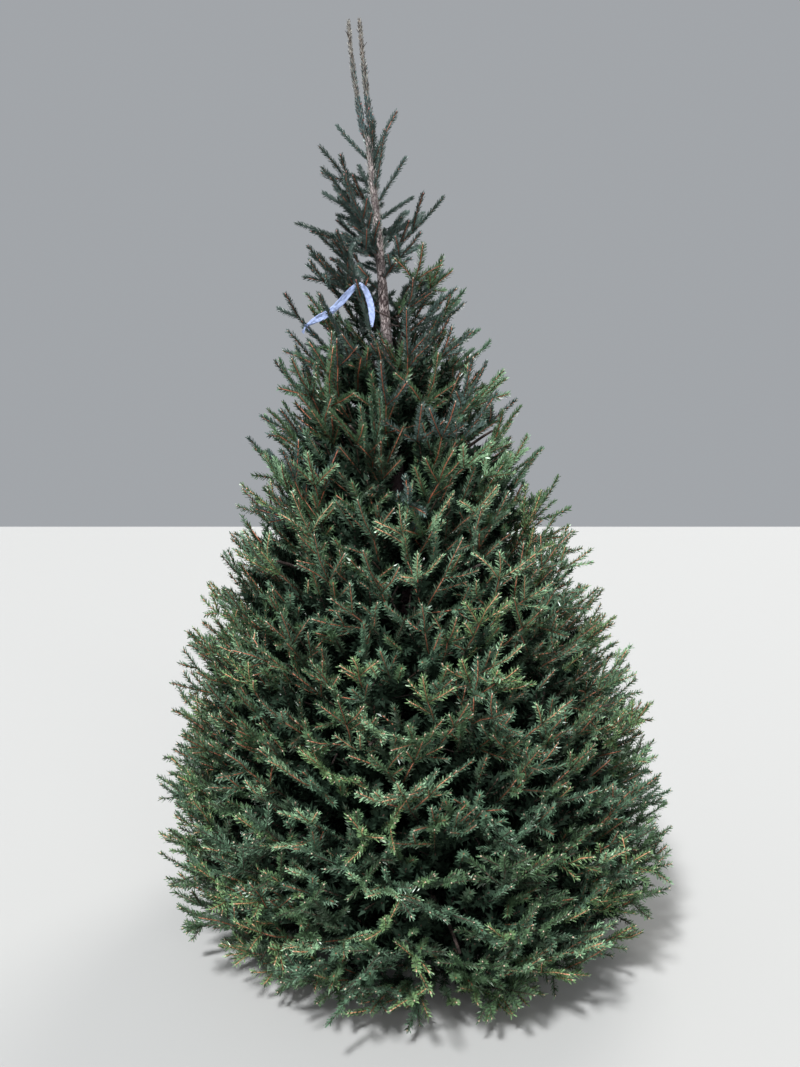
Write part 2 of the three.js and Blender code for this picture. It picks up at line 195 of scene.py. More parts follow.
# How needles stand on each kind of shoot: their size, how many to the metre at each age,
# how far they lean from the shoot on top and how much more at its sides, the angle that
# is bare beneath, and how far single needles stray and twist. Wedges have one face each
HABITS = {row.habit: row for row in table(
    "habit length width per_metre lean spread parting scatter twist",
    ("core", 0.038, 0.025, (300,), 38, 26, 30, 24, 40),
    ("inner", 0.033, 0.019, (300,), 34, 24, 40, 20, 40),
    ("shaded", 0.023, 0.0076, (600, 580, 530, 450), 32, 22, 50, 18, 50),
    ("outer", 0.0195, 0.0041, (505, 470, 430), 28, 24, 76, 16, 58),
    ("high", 0.0205, 0.0042, (840, 770, 650), 30, 22, 96, 16, 56),
    ("undercoat", 0.0180, 0.0066, (165, 150, 120), 22, 18, 84, 12, 45),
    ("spire", 0.0195, 0.0034, (1300, 1200, 1000), 33, 8, 56, 13, 56),
    ("leader", 0.0180, 0.0032, (3000, 3000), 24, 0, 0, 26, 60),
    ("trunk", 0.0170, 0.0030, (900, 900), 26, 0, 0, 30, 60),
)}
WEDGES = ("core", "inner", "shaded", "undercoat")
GOLDEN_TURN = 137.508

MASK = 0xFFFFFFFF
UP = Vector((0, 0, 1))


def seeded(seed):
    """The same seed always grows the same tree, here and in the source."""
    state = seed & MASK

    def draw():
        nonlocal state
        state = (state + 0x6D2B79F5) & MASK
        t = ((state ^ (state >> 15)) * (state | 1)) & MASK
        t ^= (t + (((t ^ (t >> 7)) * (t | 61)) & MASK)) & MASK
        return ((t ^ (t >> 14)) & MASK) / 4294967296

    return draw


def around(random, spread):
    return (random() * 2 - 1) * spread


def lerp(a, b, t):
    return a + (b - a) * t


def trunk_x(z):
    return -(LEAN * z + SWEEP * z * z)


def trunk_radius(z):
    flare = ROOT_FLARE * math.exp(-z / ROOT_FLARE_HEIGHT)
    swelling = FORK_SWELLING * math.exp(-(TRUNK_HEIGHT - z) / FORK_SWELLING_HEIGHT)
    return TRUNK_FOOT_RADIUS - TRUNK_TAPER * z + flare + swelling


def crown_radius(z):
    limits = (SKIRT_RADIUS + SKIRT_FLARE * z, WIDEST_RADIUS, CONE_FOOT_RADIUS - CONE_TAPER * z)
    return -CROWN_ROUNDING * math.log(sum(math.exp(-r / CROWN_ROUNDING) for r in limits))


def bough_rise(z):
    return BOUGH_RISE_AT_GROUND + BOUGH_RISE_PER_METRE * z


def cone_height(z, distance):
    return z + distance * math.tan(math.radians(bough_rise(z)))


def surface_distance(z):
    distance = crown_radius(z)
    for _ in range(30):
        distance = lerp(distance, crown_radius(cone_height(z, distance)), 0.5)
    return distance


def place(azimuth, distance, z):
    turn = math.radians(azimuth)
    return Vector((trunk_x(z) + distance * math.cos(turn), distance * math.sin(turn), z))


def heading(azimuth, rise):
    turn, lift = math.radians(azimuth), math.radians(rise)
    return Vector((math.cos(lift) * math.cos(turn), math.cos(lift) * math.sin(turn), math.sin(lift)))


def make_cell(tier, sector):
    whorl = TOP_WHORL - tier * WHORL_SPACING
    return Row(
        whorl=whorl,
        lower=whorl - WHORL_SPACING / 2,
        upper=whorl + WHORL_SPACING / 2,
        azimuth=SECTOR_OFFSETS[tier] + sector * 360 / SECTORS[tier],
        half_angle=180 / SECTORS[tier],
    )


def bough_path(cell):
    reach = surface_distance(cell.whorl) * BOUGH_REACH
    upturn = reach * BOUGH_UPTURN
    start = place(cell.azimuth, 0, cell.whorl)
    end = place(cell.azimuth, reach, cone_height(cell.whorl, reach) + upturn)
    middle = place(cell.azimuth, reach / 2, cone_height(cell.whorl, reach / 2) - upturn / 2)
    return start, middle, end


def bezier(start, middle, end, t):
    return start.lerp(middle, t).lerp(middle.lerp(end, t), t)


def surface_points(cell, layer, random):
    """Even places on the crown's surface in a cell, in staggered rows."""
    points = []
    low = max(cell.lower, LOWEST_CONE)
    tall = surface_height(cell.upper) - max(surface_height(low), 0)
    rows = round(tall / layer.rows)
    for row in range(rows):
        cone_at = lerp(low, cell.upper, (row + 0.5) / rows)
        width = 2 * (surface_distance(cone_at) - layer.depth) * math.radians(cell.half_angle)
        columns = max(1, round(width / layer.columns))
        for column in range(columns):
            across = ((column + (0.3 if row % 2 else 0.7)) / columns) * 2 - 1
            cone = cone_at + around(random, 0.035)
            azimuth = cell.azimuth + across * cell.half_angle + around(random, 5)
            points.append((cone, azimuth))
    return points


def surface_height(cone):
    return cone_height(cone, surface_distance(cone))


# Growth of the shoots

# Each shoot is a curve from foot to tip through a bend, with the side that faces up, its
# age in years, its radii and the tone of its needles. Wood is limbs and twigs in bare bark
shoots = []
wood = []


def add_shoot(foot, bend, tip, over, age, tone, habit, bare=True):
    thick = SHOOT_RADIUS + YEAR_THICKENING * age + (HIGH_THICKENING if habit in ("high", "spire") else 0)
    shoots.append(Row(foot=foot, bend=bend, tip=tip, over=over, age=age, tone=tone,
                      radius=(thick, thick * SHOOT_TAPER), habit=habit, bare=bare))


def add_wood(foot, bend, tip, foot_radius, tip_radius):
    wood.append(Row(foot=foot, bend=bend, tip=tip, radius=(foot_radius, tip_radius)))


def keeps_in(point):
    """Whether a shoot of the crown may end at a point."""
    distance = math.hypot(point.x - trunk_x(point.z), point.y)
    allowance = REACH_ALLOWANCE + (SKIRT_ALLOWANCE if point.z < SKIRT_HEIGHT else 0)
    inside = distance < crown_radius(max(point.z, 0)) + allowance
    return inside and point.z > GROUND_CLEARANCE and not in_open_front(point)


def in_open_front(point):
    """Whether a point would hide the upper trunk, the tape or a glimpse of the lower trunk."""
    aside = point.x - trunk_x(point.z)
    beside = -OPEN_FRONT_LEFT < aside < OPEN_FRONT_RIGHT
    before_trunk = beside and point.z > OPEN_FRONT_FROM and point.y < -0.01
    along_tape = (point.x - TAPE_LEFT) / TAPE_SPAN
    low = lerp(*TAPE_UNDERSIDE, along_tape) if along_tape < TAPE_HANGS_FROM else TAPE_HANGS_TO
    at_tape = -0.1 < along_tape < 1.08 and low < point.z < TAPE_TOP
    before_tape = at_tape and point.y < lerp(*TAPE_DEPTHS, along_tape)
    return before_trunk or before_tape or before_glimpse(point)


def before_glimpse(point):
    """Gaps in the front of the crown, through which the trunk shows from eye height."""
    if point.y > -0.035:
        return False
    seen = EYE + (point - EYE) * (EYE.y / (EYE.y - point.y))
    beside = abs(seen.x - trunk_x(seen.z)) < GLIMPSE_HALF_WIDTH
    return beside and any(low < seen.z < high for low, high in TRUNK_GLIMPSES)


def rolled(over, along, degrees):
    """The side of a shoot that faces up, turned about the shoot."""
    turn = math.radians(degrees)
    return over * math.cos(turn) + along.cross(over) * math.sin(turn)


def grow(foot, along, over, years, length, spray, random):
    """One year's shoot, then from its end the terminal and side shoots of the years after."""
    over = (over - along * over.dot(along)).normalized()
    tip = foot + along * length
    if not spray.limit(tip):
        length *= SHORTENED
        tip = foot + along * length
        if not spray.limit(tip):
            return
    if spray.keeps_open and any(in_open_front(foot.lerp(tip, share)) for share in (0.25, 0.5, 0.75, 1)):
        return
    over = rolled(over, along, around(random, SHOOT_ROLL))
    side = along.cross(over)
    bend = foot.lerp(tip, 0.5) + (over * (around(random, 0.08) - 0.02) + side * around(random, 0.10)) * length
    add_shoot(foot, bend, tip, over, spray.age + years, spray.tone, spray.habit)
    if years > 0:
        ahead = (along + over * (0.06 + around(random, 0.08)) + side * around(random, 0.09)).normalized()
        grow(tip, ahead, over, years - 1, length * (YEAR_GAIN + around(random, 0.16)), spray, random)
        for hand in (-1, 1):
            if random() < SIDE_CHANCE:
                angle = math.radians(SIDE_ANGLE + around(random, 9))
                way = along * math.cos(angle) + side * hand * math.sin(angle)
                way = (way + over * (0.1 + around(random, 0.3))).normalized()
                share = SIDE_SHARE * (1 + around(random, 0.22))
                grow(tip, way, over, years - 1, length * share, spray, random)
        if random() < EXTRA_SIDE_CHANCE:
            hand = -1 if random() < 0.5 else 1
            at = bezier(foot, bend, tip, 0.45 + random() * 0.35)
            grow_side(at, along, over, hand, length * (0.5 + random() * 0.25), spray, random)


def grow_side(at, along, over, hand, length, spray, random):
    """A side shoot of this year's from part way along an older one."""
    way = along * 0.72 + along.cross(over) * hand * 0.62 + over * around(random, 0.3)
    grow(at, way.normalized(), over, 0, length, spray, random)


def nearest_fork(root, forks):
    """Where on the limbs a new twig starts: near its end, and ahead on its limb's heading."""
    def cost(fork):
        way = root - fork.at
        return way.length * (1.7 - way.normalized().dot(fork.along))
    return min(forks, key=cost).at


def add_twig(foot, bend, tip, foot_radius, tip_radius, forks, habit):
    """A twig whose outer part still carries old needles."""
    add_wood(foot, bend, tip, foot_radius, tip_radius)
    start = bezier(foot, bend, tip, CLAD_FROM)
    along = (tip - start).normalized()
    if not any(in_open_front(start.lerp(tip, share)) for share in (0, 0.33, 0.67, 1)):
        over = (UP - along * UP.dot(along)).normalized()
        add_shoot(start, bend.lerp(tip, CLAD_FROM), tip, over, 3, 0.5, habit, bare=False)
    for t in (0.4, 0.7, 1.0):
        along = ((bend - foot) * (1 - t) + (tip - bend) * t).normalized()
        forks.append(Row(at=bezier(foot, bend, tip, t), along=along))


def grow_mass(tier, sector):
    """A mass: its stem, the twigs that branch from it layer by layer, and a spray on each."""
    cell = make_cell(tier, sector)
    random = seeded(SEED + 100 * (tier + 1) + sector)
    bough_start, bough_middle, bough_end = bough_path(cell)
    reach = surface_distance(cell.whorl) - CORE_DEPTH
    start = bough_end if tier else bough_start
    end = place(cell.azimuth, reach, cone_height(cell.whorl, reach))
    forward = (bough_end - bough_middle).normalized()
    middle = start + forward * ((end - start).length / 2)
    add_wood(start, middle, end, BOUGH_TIP_RADIUS, STEM_TIP_RADIUS)
    forks = [Row(at=bezier(start, middle, end, 0.1 * step), along=forward) for step in range(LIMB_FORKS)]
    if tier:
        forks += [Row(at=bezier(bough_start, bough_middle, bough_end, 0.4 + 0.12 * step), along=forward)
                  for step in range(5)]
    for layer in LAYERS:
        if layer.first_tier <= tier <= layer.last_tier:
            for cone, azimuth in surface_points(cell, layer, random):
                grow_spray(cone, azimuth, layer, forks, random)
    if tier == len(SECTORS) - 1:
        grow_skirt(cell, forks, random)


def grow_skirt(cell, forks, random):
    """Sprays in rings that lie out close over the ground."""
    for ring in GROUND_RINGS:
        for k in range(ring.sprays):
            across = (k + 0.5 + around(random, 0.3)) / ring.sprays * 2 - 1
            azimuth = cell.azimuth + across * cell.half_angle
            distance = ring.distance + around(random, 0.03)
            tip = place(azimuth, distance, GROUND_SPRAY_HEIGHT + random() * 0.04)
            along = heading(azimuth + around(random, 35), 5 + around(random, 8))
            grow_from(tip, along, ring, forks, random)


def grow_spray(cone, azimuth, layer, forks, random):
    distance = surface_distance(max(cone, -0.03)) * (1 + around(random, 0.03)) - layer.depth
    if distance < NARROWEST_CROWN:
        return
    tip = place(azimuth, distance, max(cone_height(cone, distance), 0.05 + random() * 0.04))
    if tip.z > getattr(layer, "highest", TRUNK_HEIGHT):
        return
    turn = azimuth + around(random, lerp(SPRAY_TURN_SCATTER, HIGH_TURN_SCATTER, min(max(cone, 0) / 1.5, 1)))
    rise = min(bough_rise(cone) + SPRAY_UPTURN, STEEPEST_SPRAY) + around(random, SPRAY_RISE_SCATTER)
    grow_from(tip, heading(turn, rise), layer, forks, random)


def grow_from(tip, along, layer, forks, random):
    """A spray that ends at a given tip, on a twig from the nearest limb."""
    gain = 1 + LENGTH_GAIN * max(0, tip.z - LENGTH_GAIN_FROM)
    size = layer.length * gain * (1 + around(random, 0.2))
    years = layer.years if random() < FULL_SPRAYS else layer.years - 1
    room = SPRAY_SHARE_OF_REACH * math.hypot(tip.x - trunk_x(tip.z), tip.y)
    if years > 1 and size * (years + 1) > room:
        years = 1
    size = min(size, max(room / (years + 1), SHORTEST_YEAR))
    root = tip - along * size * (years + 1)
    if root.z < LOWEST_ROOT:
        root.z = LOWEST_ROOT + random() * 0.03
        along = (tip - root).normalized()
    over = (UP - along * UP.dot(along)).normalized()
    over = rolled(over, along, (random() + random() - 1) * SPRAY_ROLL)
    fork = nearest_fork(root, forks)
    bow = fork.lerp(root, 0.6) - UP * TWIG_SAG
    near_top = tip.z > SHADED_FROM
    add_twig(fork, bow, root, TWIG_RADIUS, TWIG_TIP_RADIUS, forks, "shaded" if near_top else "inner")
    habit = "shaded" if near_top else layer.habit
    if layer.habit == "outer":
        habit = "high" if tip.z > HIGH_FROM else "outer"
    tone = random() * (HIGH_TONES if tip.z > HIGH_FROM else LOW_TONES if tip.z < LOW_BELOW else 1)
    spray = Row(tone=tone, habit=habit, age=layer.age, limit=keeps_in, keeps_open=True)
    grow(root, along, over, years, size, spray, random)


def within_spire(point):
    return point.z < TRUNK_HEIGHT + 0.06


def grow_spire_shoot(shoot, random, keeps_open=False):
    """A shoot straight from the trunk, and its side shoots where it is older."""
    azimuth, rise, length = shoot.azimuth, shoot.rise, shoot.length
    along = heading(azimuth, rise)
    over = heading(azimuth, rise + 90)
    start = place(azimuth, 0, shoot.height) + along * trunk_radius(shoot.height)
    spray = Row(tone=random(), habit="spire", age=0, limit=within_spire, keeps_open=keeps_open)
    if shoot.sides == 0:
        grow(start, along, over, 0, length, spray, random)
        return
    half = length * 0.5
    grow(start, along, over, 1, half, spray, random)
    for i in range(shoot.sides + 1):
        hand = 1 if i % 2 else -1
        at = start + along * half * (0.28 + 0.2 * i)
        grow_side(at, along, over, hand, length * (0.42 - 0.05 * i), spray, random)


def upper_sprays():
    """More sprays round the foot of the spire, by the golden turn: few right, none in front."""
    for i in range(UPPER_SPRAYS):
        share = i / (UPPER_SPRAYS - 1)
        height = lerp(UPPER_SPRAYS_FROM, UPPER_SPRAYS_TO, share)
        azimuth = (i * GOLDEN_TURN + 70) % 360
        right = azimuth < 50 or azimuth > 310
        front = 240 < azimuth < 310
        if front or (right and share > 0.15):
            continue
        yield Row(height=height, azimuth=azimuth, rise=lerp(36, 48, share),
                  length=lerp(0.34, 0.20, share), sides=3 if share < 0.8 else 1)


def grow_along(points, random):
    """A spray whose axis follows given places, three to a year, with side shoots at its nodes."""
    spray = Row(tone=0.5, habit="spire", age=0, limit=within_spire, keeps_open=True)
    years = (len(points) - 1) // 2
    for year in range(years):
        foot, bend, tip = points[2 * year: 2 * year + 3]
        along = (tip - foot).normalized()
        over = (UP - along * UP.dot(along)).normalized()
        add_shoot(foot, bend, tip, over, years - 1 - year, spray.tone, "spire")
        for hand in (-1, 1):
            grow_side(tip, along, over, hand, 0.1, spray, random)
            grow_side(bend, along, over, hand, 0.08, spray, random)


for tier, count in enumerate(SECTORS):
    for sector in range(count):
        grow_mass(tier, sector)
for i, shoot in enumerate(SPIRE_SHOOTS):
    grow_spire_shoot(shoot, seeded(SEED + 10 + i))
for i, shoot in enumerate(upper_sprays()):
    grow_spire_shoot(shoot, seeded(SEED + 40 + i), True)
for i in range(FORK_SHOOTS):
    azimuth = i * GOLDEN_TURN + 15
    height = TRUNK_HEIGHT - 0.03 - 0.022 * i
    shoot = Row(height=height, azimuth=azimuth, rise=79, length=0.12 - 0.006 * i, sides=0)
    grow_spire_shoot(shoot, seeded(SEED + 70 + i))

# The sprays that carry the tape, one that crosses it, and the shoot that it is laid over
KNOT = Vector((TAPE_LEFT, -0.095, 2.121))
PEAK = Vector((-0.198, -0.200, 2.236))
for number, places in enumerate((
    ((-0.215, -0.060, 1.930), (-0.262, -0.072, 1.985), (-0.304, -0.080, 2.033), (-0.347, -0.088, 2.080),
     KNOT + (KNOT - Vector((-0.304, -0.080, 2.033))) * 0.3),
    ((-0.019, -0.200, 1.897), (-0.115, -0.220, 1.977), (-0.158, -0.215, 2.073), (-0.175, -0.200, 2.146),
     (-0.192, -0.186, 2.198), (-0.208, -0.176, 2.262), (-0.227, -0.165, 2.326)),
    ((-0.200, -0.130, 1.930), (-0.235, -0.155, 2.005), (-0.262, -0.168, 2.075), (-0.295, -0.172, 2.140),
     (-0.327, -0.175, 2.204)),
)):
    grow_along([Vector(p) for p in places], seeded(SEED + 80 + number))
rest_foot = Vector((-0.189, -0.188, 2.190))
rest = PEAK - Vector((0, 0, 0.007))
add_shoot(rest_foot, rest.lerp(rest_foot, 0.35), rest + Vector((-0.004, -0.030, 0.010)),
          Vector((0, 0.6, 0.8)), 0, 0.5, "spire")

# Meshes from arrays: needles, bark of shoots and twigs, and buds


def rows_of(items, key):
    return np.array([getattr(item, key)[:] for item in items], float)


def unit(vectors):
    return vectors / np.maximum(np.linalg.norm(vectors, axis=1, keepdims=True), 1e-9)


def along_curves(items):
    """The curves of shoots as arrays: point and direction at any share of their length."""
    foot, bend, tip = rows_of(items, "foot"), rows_of(items, "bend"), rows_of(items, "tip")

    def point(pick, t):
        t = t[:, None]
        return foot[pick] * (1 - t) ** 2 + bend[pick] * 2 * t * (1 - t) + tip[pick] * t ** 2

    def direction(pick, t):
        t = t[:, None]
        return unit((bend[pick] - foot[pick]) * (1 - t) + (tip[pick] - bend[pick]) * t)

    return point, direction


def show(name, data, finish=None):
    """A new object in the scene, in one finish where it is a mesh."""
    shown = bpy.data.objects.new(name, data)
    bpy.context.scene.collection.objects.link(shown)
    if finish:
        data.materials.append(finish)
    return shown


def crown_piece(name, arrays, finish):
    """A piece from arrays, one of those that replace the solids of the crown."""
    vertices, triangles = arrays
    data = bpy.data.meshes.new(name)
    data.from_pydata(vertices, [], triangles, shade_flat=False)
    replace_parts(dress(name, data, finish), *crown_nodes)


def bmesh_piece(name, mesh, finish):
    """A smooth-shaded piece from a bmesh."""
    for face in mesh.faces:
        face.smooth = True
    return dress(name, data_of(name, mesh), finish)


def data_of(name, mesh):
    data = bpy.data.meshes.new(name)
    mesh.to_mesh(data)
    mesh.free()
    return data


def dress(name, data, finish):
    piece = show(name, data, finish)
    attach(piece, "root")
    return piece


generator = np.random.default_rng(SEED)


def needle_arrays(items, name, habit=None):
    """Needles along the shoots, as pointed blades that lean forward and are parted beneath."""
    habit = habit or HABITS[name]
    point, direction = along_curves(items)
    over = rows_of(items, "over")
    length = np.linalg.norm(rows_of(items, "tip") - rows_of(items, "foot"), axis=1)
    radii = np.array([item.radius for item in items])
    by_age = habit.per_metre
    per_metre = np.array([by_age[min(item.age, len(by_age) - 1)] for item in items])
    counts = np.maximum(8, np.round(length * per_metre)).astype(int)
    pick = np.repeat(np.arange(len(items)), counts)
    order = np.arange(len(pick)) - np.repeat(np.cumsum(counts) - counts, counts)
    chance = generator.random((6, len(pick)))
    t = 0.02 + 0.98 * (order + chance[0]) / counts[pick]
    near_tip = np.clip((t - 0.88) / 0.12, 0, 1)
    at, along = point(pick, t), direction(pick, t)
    up = unit(over[pick] - along * np.sum(over[pick] * along, axis=1, keepdims=True))
    side = np.cross(along, up)
    clad = 360 - habit.parting
    turn = np.radians(((order * GOLDEN_TURN + chance[1] * 24) % 360) / 360 * clad - clad / 2)
    radial = up * np.cos(turn)[:, None] + side * np.sin(turn)[:, None]
    flank = np.abs(np.sin(turn))
    lean = habit.lean + habit.spread * flank + (chance[2] - 0.5) * habit.scatter
    lean = np.radians(lean * (1 - 0.4 * near_tip))
    way = unit(along * np.cos(lean)[:, None] + radial * np.sin(lean)[:, None])
    size = habit.length * (0.76 + 0.2 * flank + (chance[3] - 0.5) * 0.3) * (1 - 0.15 * near_tip)
    width = habit.width * (0.85 + 0.3 * chance[4])
    radius = lerp(radii[pick, 0], radii[pick, 1], t) * 0.7
    root = at + radial * radius[:, None]
    twist = np.radians((chance[5] * 2 - 1) * habit.twist)[:, None]
    flat = unit(np.cross(way, radial))
    broad = (flat * np.cos(twist) + np.cross(way, flat) * np.sin(twist)) * (width / 2)[:, None]
    tip = root + way * size[:, None]
    if name in WEDGES:
        corners = [root - broad, root + broad, tip]
        faces = [[0, 1, 2]]
    else:
        keel = unit(np.cross(broad, way)) * (size * (chance[2] - 0.3) * 0.12)[:, None]
        left = root + way * (size * 0.78)[:, None] + keel + broad
        right = root + way * (size * 0.06)[:, None] - broad
        corners = [root + broad * 0.7, right, tip - broad * 0.15, left]
        faces = [[0, 1, 2], [0, 2, 3]]
    blades = np.stack(corners, axis=1)
    blades = blades[blades[:, :, 2].min(axis=1) > NEEDLE_CLEARANCE]
    first = np.arange(len(blades))[:, None] * len(corners)
    triangles = np.concatenate([first + face for face in faces], axis=1)
    return blades.reshape(-1, 3), triangles.reshape(-1, 3)


def joined(parts):
    """Several sets of vertices and triangles as one."""
    starts = np.cumsum([0] + [len(vertices) for vertices, _ in parts])
    vertices = np.concatenate([vertices for vertices, _ in parts])
    return vertices, np.concatenate([faces + start for (_, faces), start in zip(parts, starts)])


def square_to(along):
    """A direction at right angles to each of the given ones."""
    upright = np.abs(along[:, 2:3]) > 0.9
    return unit(np.cross(along, np.where(upright, [[1.0, 0, 0]], [[0, 0, 1.0]])))


def tube_arrays(items, sides, steps):
    """Tapering closed tubes along the curves."""
    point, direction = along_curves(items)
    radii = np.array([item.radius for item in items])
    count = len(items)
    everything = np.arange(count)
    across = square_to(direction(everything, np.full(count, 0.5)))
    rings = []
    for step in range(steps + 1):
        t = np.full(count, step / steps)
        along = direction(everything, t)
        one = unit(across - along * np.sum(across * along, axis=1, keepdims=True))
        two = np.cross(along, one)
        radius = lerp(radii[:, 0], radii[:, 1], step / steps)[:, None]
        centre = point(everything, t)
        for corner in range(sides):
            angle = 2 * math.pi * corner / sides
            rings.append(centre + (one * math.cos(angle) + two * math.sin(angle)) * radius)
    vertices = np.stack(rings, axis=1).reshape(-1, 3)
    faces = []
    for step in range(steps):
        for corner in range(sides):
            a, b = step * sides + corner, step * sides + (corner + 1) % sides
            faces += [(a, b, b + sides), (a, b + sides, a + sides)]
    last = steps * sides
    for corner in range(1, sides - 1):
        faces += [(0, corner + 1, corner), (last, last + corner, last + corner + 1)]
    faces = np.array(faces)
    triangles = (np.arange(count)[:, None, None] * (steps + 1) * sides + faces[None]).reshape(-1, 3)
    return vertices, triangles


def bud_arrays(items, size):
    """A pointed bud at each tip: four sides round a short axis."""
    point, direction = along_curves(items)
    count = len(items)
    everything = np.arange(count)
    ones = np.ones(count)
    along, tip = direction(everything, ones), point(everything, ones)
    one = square_to(along)
    two = np.cross(along, one)
    back, front, middle = tip - along * size * 0.3, tip + along * size * 1.4, tip + along * size * 0.35
    quarters = np.radians([0, 90, 180, 270])
    corners = [middle + (one * math.cos(a) + two * math.sin(a)) * size * 0.5 for a in quarters]
    vertices = np.stack([back, front, *corners], axis=1).reshape(-1, 3)
    faces = [(1, 2 + k, 2 + (k + 1) % 4) for k in range(4)] + [(0, 2 + (k + 1) % 4, 2 + k) for k in range(4)]
    triangles = (np.arange(count)[:, None, None] * 6 + np.array(faces)[None]).reshape(-1, 3)
    return vertices, triangles


# Materials


class Value:
    """A socket whose sums and products add their Math nodes."""

    def __init__(self, finish, socket):
        self.finish = finish
        self.socket = socket

    def math(self, operation, first, second):
        return self.finish.node("Math", {"operation": operation}, {0: first, 1: second})

    def __add__(self, other):
        return self.math("ADD", self, other)

    def __sub__(self, other):
        return self.math("SUBTRACT", self, other)

    def __rsub__(self, other):
        return self.math("SUBTRACT", other, self)

    def __mul__(self, other):
        return self.math("MULTIPLY", self, other)

    __radd__ = __add__
    __rmul__ = __mul__


class Finish:
    """A material, with what is the same all over it set on its own shader."""

    def __init__(self, name, colour, roughness, shine=0.5):
        self.material = bpy.data.materials.new(name)
        self.material.use_nodes = True
        self.tree = self.material.node_tree
        self.shader = self.tree.nodes["Principled BSDF"]
        self.shader.inputs["Base Color"].default_value = (*colour, 1)
        self.shader.inputs["Roughness"].default_value = roughness
        self.shader.inputs["Specular IOR Level"].default_value = shine
        self.material.diffuse_color = (*colour, 1)

    def node(self, kind, settings, values, output=0):
        """One output of a new node, such as Math, with its settings made before its inputs."""
        made = self.tree.nodes.new("ShaderNode" + kind)
        for key, value in settings.items():
            setattr(made, key, value)
        for key, value in values.items():
            self.feed(made.inputs[key], value)
        return Value(self, made.outputs[output])

    def feed(self, socket, value):
        if isinstance(value, Value):
            self.tree.links.new(value.socket, socket)
        else:
            socket.default_value = value

    def place(self, scale):
        """Object coordinates, stretched by scale."""
        coordinates = self.node("TexCoord", {}, {}, "Object")
        return self.node("Mapping", {}, {"Vector": coordinates, "Scale": scale})

    def noise(self, vector, scale, detail=4.0, roughness=0.6):
        values = {"Vector": vector, "Scale": scale, "Detail": detail, "Roughness": roughness}
        return self.node("TexNoise", {}, values)

    def mix(self, mask, first, second):
        return self.node("Mix", {"data_type": "RGBA"}, {0: mask, 6: first, 7: second}, 2)

    def spread(self, value, low, high, first=0.0, last=1.0):
        values = {"Value": value, "From Min": low, "From Max": high, "To Min": first, "To Max": last}
        return self.node("MapRange", {}, values)

    def bump(self, height, strength, distance):
        values = {"Height": height, "Strength": strength, "Distance": distance}
        self.feed(self.shader.inputs["Normal"], self.node("Bump", {}, values))


# Colour of the painted shade on the trunk under the crown's foliage
PAINTED_SHADE_BARK = (0.150, 0.095, 0.108)


def bark_finish(name, flake, furrow, bloom, size, painted_shade_below=None):
    """Thin bark that flakes in small scales: each has its own tone, with dark lines between. Below the
    heights given, it is painted darker towards the bottom: painted shade under the crown.
    """
    finish = Finish(name, flake, 0.88)
    cells = {"Vector": finish.place((1.0, 1.0, 0.45)), "Scale": size}
    scales = finish.node("TexVoronoi", {}, cells, "Color")
    shade = finish.node("SeparateColor", {}, {"Color": scales})
    edges = finish.node("TexVoronoi", {"feature": "DISTANCE_TO_EDGE"}, cells)
    line = finish.spread(edges, 0.0, 0.12)
    streaks = finish.noise(finish.place((1.0, 1.0, 0.12)), size * 0.9, 3.0)
    blotches = finish.noise(finish.place((1.0, 1.0, 0.6)), 22.0)
    worn = finish.spread(blotches, 0.48, 0.66)
    tint = shade * 1.1 + streaks * 0.9 - 0.55
    colour = finish.mix(tint, (*furrow, 1), (*flake, 1))
    colour = finish.mix(worn * 0.5, colour, (*bloom, 1))
    colour = finish.mix(1 - line, colour, (*furrow, 1))
    # Painted shade: darker towards the bottom below the heights given, for the crown's shadow on the trunk
    if painted_shade_below:
        height = finish.node("SeparateXYZ", {}, {"Vector": finish.place((1.0, 1.0, 1.0))}, "Z")
        colour = finish.mix(finish.spread(height, *painted_shade_below, 0.8, 0.0), colour, (*PAINTED_SHADE_BARK, 1))
    finish.feed(finish.shader.inputs["Base Color"], colour)
    finish.feed(finish.shader.inputs["Roughness"], 0.94 - line * 0.14)
    finish.bump(line * 0.6 + shade * 0.5 + streaks * 0.6, 0.9, 0.003)
    return finish.material


def needle_finish(name, colour, roughness, shine=0.45):
    return Finish(name, colour, roughness, shine).material


# The trunk's bark is painted darker from 2.15 m down to 1.85 m and below: painted shade inside the crown
TRUNK_BARK = bark_finish("trunk_bark", (0.50, 0.42, 0.41), (0.045, 0.026, 0.027), (0.56, 0.51, 0.50), 150.0,
                         (1.85, 2.15))
LIMB_BARK = bark_finish("limb_bark", (0.105, 0.068, 0.056), (0.020, 0.012, 0.011), (0.13, 0.10, 0.09), 320.0)
TWIG_BARK = Finish("twig_bark", (0.075, 0.042, 0.030), 0.85).material
SHOOT_BARK = Finish("shoot_bark", (0.42, 0.142, 0.080), 0.5).material
RED_SHOOT_BARK = Finish("red_shoot_bark", (0.44, 0.130, 0.070), 0.5).material
PALE_SHOOT_BARK = Finish("pale_shoot_bark", (0.76, 0.34, 0.195), 0.5).material
LEADER_BARK = Finish("leader_bark", (0.20, 0.145, 0.115), 0.8).material
BUD_SCALES = Finish("bud_scales", (0.62, 0.46, 0.35), 0.55).material
RED_BUD_SCALES = Finish("red_bud_scales", (0.36, 0.13, 0.115), 0.5).material

# Needle tones, dealt out by spray: name, colour, and roughness
TONES = (
    ("deep_green", (0.054, 0.092, 0.054), 0.36),
    ("green", (0.082, 0.152, 0.074), 0.34),
    ("blue_green", (0.100, 0.182, 0.114), 0.32),
    ("leaf_green", (0.162, 0.280, 0.122), 0.32),
    ("grey_green", (0.222, 0.375, 0.216), 0.30),
    ("dark_blue", (0.046, 0.076, 0.064), 0.40),
    ("slate_blue", (0.085, 0.135, 0.120), 0.38),
)
SHADED_NEEDLES = needle_finish("shaded_needles", (0.046, 0.083, 0.049), 0.45)
# Near-black needles for the crown's inside: their darkness is painted shade of the deep crown
PAINTED_SHADE_NEEDLES = needle_finish("inner_needles_painted_shade", (0.018, 0.036, 0.022), 0.7, 0.15)

